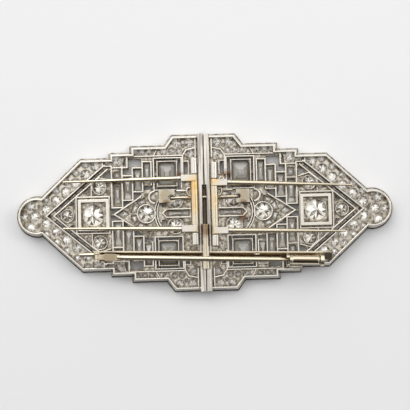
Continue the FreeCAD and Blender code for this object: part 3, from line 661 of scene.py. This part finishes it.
class BROOCH_OT_stage(Operator):
    """Pale floor, soft studio light and the camera over the back of the brooch"""

    bl_idname = "brooch.stage"
    bl_label = "Stage"

    def execute(self, context):
        sizes = context.scene.brooch_sizes
        colours = context.scene.brooch_colours
        deselect()
        bpy.ops.mesh.primitive_circle_add(
            vertices=96, radius=FLOOR_RADIUS, fill_type="NGON", location=(0, 0, -FLOOR_DROP * MM))
        floor = context.object
        floor.name = "floor"
        paint(floor, floor_finish("pale_surface", colours.floor))
        for row in LIGHTS:
            self.light(*row)
        self.sky(context)
        self.camera(context, sizes)
        return {"FINISHED"}

    def light(self, name, place, size, watts):
        bpy.ops.object.light_add(type="AREA", location=place)
        lamp = bpy.context.object
        lamp.name = name
        lamp.data.size = size
        lamp.data.energy = watts
        lamp.rotation_euler = (-Vector(place)).to_track_quat("-Z", "Y").to_euler()

    def sky(self, context):
        """Soft surroundings: large bright panels round the object, dark towards the viewer."""
        world = bpy.data.worlds.new("soft_studio")
        context.scene.world = world
        finish = Finish(world)
        direction = finish.node("ShaderNodeTexCoord", output="Generated")
        total = finish.step(finish.part(direction, "Y"), *SKY_TURN) * SKY_RISE + SKY_DARK
        for towards, inner, outer, level in SKY_PANELS:
            lean = finish.node(
                "ShaderNodeVectorMath", {"operation": "DOT_PRODUCT"},
                {0: direction, 1: Vector(towards).normalized()}, output="Value")
            total = total + finish.step(
                lean, math.cos(math.radians(outer)), math.cos(math.radians(inner))) * level
        background = finish.node("ShaderNodeBackground", inputs={"Color": total, "Strength": 1.0})
        finish.close(background, "World")

    def camera(self, context, sizes):
        distance = sizes.view_width / SENSOR * LENS
        look_at = Vector(metres(LOOK_AT))
        up = Vector((math.sin(sizes.view_roll), math.cos(sizes.view_roll), 0))
        right = Vector((math.cos(sizes.view_roll), -math.sin(sizes.view_roll), 0))
        back = Vector((0, 0, 1)) * math.cos(sizes.view_tilt) - up * math.sin(sizes.view_tilt)
        true_up = back.cross(right)
        turn = Matrix((right, true_up, back)).transposed().to_4x4()
        bpy.ops.object.camera_add(location=look_at + back * distance)
        camera = bpy.context.object
        camera.name = "camera"
        camera.rotation_euler = turn.to_euler()
        camera.data.lens = LENS
        camera.data.sensor_width = SENSOR
        camera.data.clip_start = 0.01
        context.scene.camera = camera
        context.scene.view_settings.view_transform = "Standard"


class BROOCH_OT_metal(Operator):
    """Finish of the galleries, prongs, hinge rods, frame, pin and catch"""

    bl_idname = "brooch.metal"
    bl_label = "Metal finishes"

    def execute(self, context):
        # Surface, dirt and painted shade low down and in the corners, painted highlight on the wall tops,
        # streaks on the rails that are drawing marks and painted dark reflection, and the painted shade
        # round the pin.
        # soften, the height of the low shade and reach are in mm
        colours = context.scene.brooch_colours
        white = {
            "colour": colours.platinum, "rough": 0.08, "ripple": 0.35, "soften": 0.16,
            "low_dirt_and_shade": colours.low_dirt_and_shade, "low_dirt_and_shade_share": 0.95, "low_dirt_and_shade_height": (0.9, 1.7),
            "dirt_and_shade": colours.dirt_and_shade, "corner_dirt_and_shade_share": 0.75, "reach": 0.45,
            "raised": 0.9, "drawn": 0.85, "pin": False}
        warm = {
            "colour": colours.gold, "rough": 0.12, "ripple": 0.25, "soften": 0.12,
            "low_dirt_and_shade": colours.dirt_and_shade, "low_dirt_and_shade_share": 0.9, "low_dirt_and_shade_height": (1.2, 3.0),
            "dirt_and_shade": colours.dirt_and_shade, "corner_dirt_and_shade_share": 0.8, "reach": 0.6,
            "raised": 0.0, "drawn": 0.3, "pin": True}
        bright = dict(white, low_dirt_and_shade_height=(-2.0, -1.0), raised=1.0, drawn=0.0, soften=0.03)
        finishes = {
            "platinum": polished_metal("platinum", white, PLATINUM_PATCHES),
            "pale_gold": polished_metal("pale_gold", warm, GOLD_PATCHES),
        }
        polished_metal("bright_platinum", bright)
        for row in frame["record"]["subparts"]:
            if row["material_slot"] in finishes:
                paint(frame["nodes"][row["node"]], finishes[row["material_slot"]])
        return {"FINISHED"}


class BROOCH_OT_round_stones(Operator):
    """Brilliant cut stones, one model copied to every round seat"""

    bl_idname = "brooch.round_stones"
    bl_label = "Round stones"

    def execute(self, context):
        material = clear_stone("cut_stone", context.scene.brooch_colours)
        model = self.model()
        for side in SIDES:
            for number, name in enumerate(("pave_stones",) + ROUND_MAINS):
                node = f"{side}_{name}"
                pieces = [self.placed(model, part, i) for i, part in enumerate(loose_parts(node))]
                whole = joined(pieces, node + "_cut")
                glitter(whole, number, *ROUND_SPARKLE)
                hand_over(whole, side + "_clip", "diamond", material, node)
        remove(model)
        return {"FINISHED"}

    def model(self):
        """Brilliant of girdle radius 1: table below, crown, girdle, pavilion, point above."""
        deselect()
        bpy.ops.mesh.primitive_circle_add(vertices=8, radius=BRILLIANT_TABLE, location=(0, 0, 0))
        model = bpy.context.object
        model.name = "brilliant_model"
        bpy.ops.object.mode_set(mode="EDIT")
        for corners, radius, z, spin in BRILLIANT_CIRCLES:
            bpy.ops.mesh.primitive_circle_add(
                vertices=corners, radius=radius, location=(0, 0, z), rotation=(0, 0, math.radians(spin)))
        bpy.ops.mesh.select_all(action="SELECT")
        bpy.ops.mesh.convex_hull(join_triangles=True)
        bpy.ops.mesh.normals_make_consistent(inside=False)
        bpy.ops.object.mode_set(mode="OBJECT")
        return model

    def placed(self, model, points, number):
        """Copy of the brilliant in one seat."""
        middle, radius, low, high = round_seat(points)
        stone = copy_of(model, f"stone_{number}")
        stone.scale = (radius, radius, (high - low) / BRILLIANT_HEIGHT)
        stone.rotation_euler.z = math.radians(number * STONE_TURN % FACET_TURN)
        stone.location = (middle.x, middle.y, low)
        return stone


class BROOCH_OT_flat_stones(Operator):
    """Step cut stones of the same outlines as the solids"""

    bl_idname = "brooch.flat_stones"
    bl_label = "Flat stones"

    def execute(self, context):
        stepped = clear_stone("step_cut_stone", context.scene.brooch_colours)
        slim = clear_stone("baguette_stone", context.scene.brooch_colours)
        for side in SIDES:
            for number, name in enumerate(("baguette_stones",) + STEP_MAINS):
                node = f"{side}_{name}"
                piece = copy_of(frame["nodes"][node], node + "_cut")
                piece.parent = None
                piece.matrix_basis = Matrix()
                self.step_cut(piece)
                glitter(piece, number, *FLAT_SPARKLE)
                hand_over(piece, side + "_clip", "diamond", stepped if number else slim, node)
        return {"FINISHED"}

    def step_cut(self, piece):
        """Part the back of every stone level by level into the steps of its cut."""
        deselect()
        piece.select_set(True)
        bpy.context.view_layer.objects.active = piece
        bpy.ops.object.mode_set(mode="EDIT")
        bpy.ops.mesh.select_all(action="SELECT")
        bpy.ops.mesh.remove_doubles(threshold=GRID)
        bpy.ops.mesh.dissolve_limited(angle_limit=math.radians(1.0))
        for height in STEP_HEIGHTS:
            bpy.ops.mesh.select_all(action="SELECT")
            bpy.ops.mesh.bisect(plane_co=(0, 0, height * MM), plane_no=(0, 0, 1))
        bpy.ops.mesh.select_all(action="SELECT")
        bpy.ops.mesh.normals_make_consistent(inside=False)
        bpy.ops.object.mode_set(mode="OBJECT")


class BROOCH_OT_seat_lips(Operator):
    """Thin turned-up lip round the back of every round seat, one ring copied to each"""

    bl_idname = "brooch.seat_lips"
    bl_label = "Seat lips"

    def execute(self, context):
        sizes = context.scene.brooch_sizes
        material = bpy.data.materials["bright_platinum"]
        model = self.model(sizes)
        for side in SIDES:
            rings = []
            for name in ("pave_stones",) + ROUND_MAINS:
                for points in loose_parts(f"{side}_{name}"):
                    middle, radius = round_seat(points)[:2]
                    rings.append(self.placed(model, middle, radius, sizes))
            whole = joined(rings, side + "_seat_lips")
            hand_over(whole, side + "_clip", "platinum", material)
        remove(model)
        return {"FINISHED"}

    def model(self, sizes):
        """Ring with a middle radius of 1 mm."""
        deselect()
        bpy.ops.mesh.primitive_torus_add(
            major_segments=28, minor_segments=8, major_radius=MM, minor_radius=sizes.lip)
        model = bpy.context.object
        model.name = "lip_model"
        bpy.ops.object.shade_smooth()
        return model

    def placed(self, model, middle, radius, sizes):
        """Copy of the ring round one seat, on top of the plate."""
        lip = copy_of(model, "lip")
        size = (radius + LIP_GAP * MM) / MM
        lip.scale = (size, size, 1.0)
        lip.location = (middle.x, middle.y, sizes.plate_top)
        return lip


class BROOCH_OT_small_wires(Operator):
    """Gold wires at the latches, the ring on the right prongs, the rings and the solder of the catch"""

    bl_idname = "brooch.small_wires"
    bl_label = "Small wires"

    def execute(self, context):
        gold = bpy.data.materials["pale_gold"]
        for name, body, place, size, lean, stretch, thick in WIRES:
            deselect()
            bpy.ops.mesh.primitive_torus_add(
                major_segments=36, minor_segments=10, major_radius=size * MM, minor_radius=thick * MM,
                location=metres(place), rotation=[math.radians(value) for value in lean])
            wire = bpy.context.object
            wire.name = name
            wire.scale = (1.0, stretch, 1.0)
            bpy.ops.object.transform_apply(location=True, rotation=True, scale=True)
            bpy.ops.object.shade_smooth()
            hand_over(wire, body, "pale_gold", gold)
        deselect()
        place, half_sizes = SOLDER_BEAD
        bpy.ops.mesh.primitive_uv_sphere_add(segments=24, ring_count=12, radius=MM)
        bead = bpy.context.object
        bead.name = "solder_bead"
        bead.scale = half_sizes
        bead.location = metres(place)
        apply_place(bead)
        bpy.ops.object.shade_smooth()
        hand_over(bead, "right_clip", "pale_gold", gold)
        return {"FINISHED"}


class BROOCH_PT_panel(Panel):
    """Lists the steps that dress the brooch"""

    bl_idname = "BROOCH_PT_panel"
    bl_label = "Double Clip Brooch"
    bl_space_type = "VIEW_3D"
    bl_region_type = "UI"
    bl_category = "Brooch"

    def draw(self, context):
        for step in STEPS:
            self.layout.operator(step.bl_idname)


STEPS = (
    BROOCH_OT_stage,
    BROOCH_OT_metal,
    BROOCH_OT_round_stones,
    BROOCH_OT_flat_stones,
    BROOCH_OT_seat_lips,
    BROOCH_OT_small_wires,
)
CLASSES = (BroochSizes, BroochColours) + STEPS + (BROOCH_PT_panel,)


def register():
    for item in CLASSES:
        bpy.utils.register_class(item)
    bpy.types.Scene.brooch_sizes = PointerProperty(type=BroochSizes)
    bpy.types.Scene.brooch_colours = PointerProperty(type=BroochColours)


def unregister():
    del bpy.types.Scene.brooch_colours
    del bpy.types.Scene.brooch_sizes
    for item in reversed(CLASSES):
        bpy.utils.unregister_class(item)


def main():
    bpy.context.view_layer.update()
    register()
    for step in STEPS:
        group, name = step.bl_idname.split(".")
        getattr(getattr(bpy.ops, group), name)()


if __name__ == "__main__":
    main()
